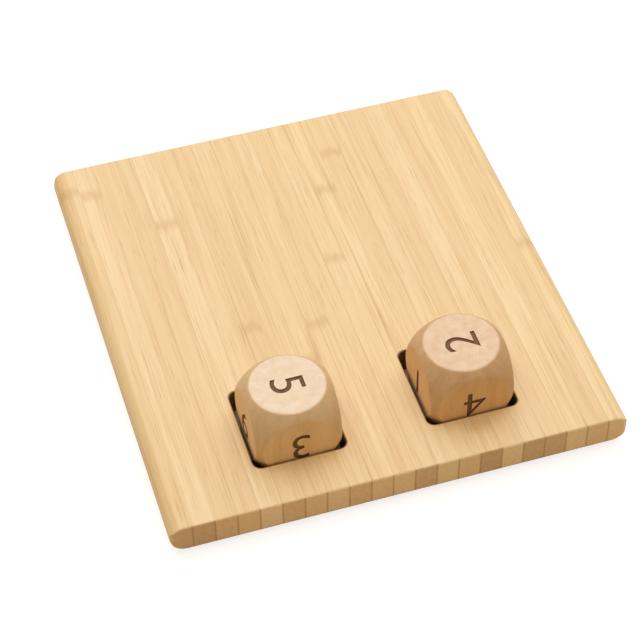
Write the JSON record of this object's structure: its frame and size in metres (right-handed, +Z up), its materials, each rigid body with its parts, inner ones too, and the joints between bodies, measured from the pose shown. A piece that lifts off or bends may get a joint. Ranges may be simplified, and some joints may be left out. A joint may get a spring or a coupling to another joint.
{
  "type": "wireless charging pad with dice",
  "caption": "Rounded bamboo slab with a wireless charging coil under its rear half, an inlet in its back edge, and square pockets at the front that hold wooden dice.",
  "frame": {"origin": "on the table, below the middle of the board", "axes": "+X to the user's right, +Y to the back edge with the inlet, +Z up"},
  "size_m": [0.165, 0.18, 0.0337],
  "materials": {
    "bamboo": "oiled bamboo with a fine straight grain",
    "beech": "bare sanded beech with burnt numerals",
    "cover_plastic": "fine moulded texture",
    "silicone": "matt",
    "steel": "plated",
    "inlet_plastic": "moulded",
    "clear_plastic": "clear, polished",
    "circuit_board": "solder mask",
    "chip_plastic": "moulded epoxy",
    "ceramic": "fired ceramic",
    "ferrite": "sintered, matt",
    "copper": "enamelled copper wire",
    "tape": "amber film",
    "foam": "open-cell foam",
    "thermistor_coat": "dipped resin"
  },
  "bodies": {
    "pad": {"bamboo_board": "bamboo", "bottom_cover": "cover_plastic", "port_bezel": "cover_plastic", "cover_screw_front_left": "steel", "cover_screw_front_right": "steel", "cover_screw_back_left": "steel", "cover_screw_back_right": "steel", "board_screw_left": "steel", "board_screw_right": "steel", "foot_front_left": "silicone", "foot_front_right": "silicone", "foot_back_left": "silicone", "foot_back_right": "silicone", "inlet_shell": "steel", "inlet_tongue": "inlet_plastic", "light_pipe": "clear_plastic", "status_led": "clear_plastic", "circuit_board": "circuit_board", "charge_controller": "chip_plastic", "power_negotiator": "chip_plastic", "regulator": "chip_plastic", "bridge_transistor_left": "chip_plastic", "bridge_transistor_right": "chip_plastic", "sense_resistor": "chip_plastic", "surge_diode": "chip_plastic", "buck_inductor": "ferrite", "input_capacitor_left": "ceramic", "input_capacitor_right": "ceramic", "resonant_capacitor_1": "ceramic", "resonant_capacitor_2": "ceramic", "resonant_capacitor_3": "ceramic", "resonant_capacitor_4": "ceramic", "charging_coil": "copper", "ferrite_plate": "ferrite", "coil_tape": "tape", "foam_spacer": "foam", "thermistor": "thermistor_coat"},
    "left_die_body": {"left_die": "beech"},
    "right_die_body": {"right_die": "beech"}
  },
  "joints": [
    {"name": "left_die_lift", "type": "slide", "parent": "pad", "child": "left_die_body", "axis": [0, 0, 1], "range_m": [0, 0.04]},
    {"name": "right_die_lift", "type": "slide", "parent": "pad", "child": "right_die_body", "axis": [0, 0, 1], "range_m": [0, 0.04]}
  ]
}
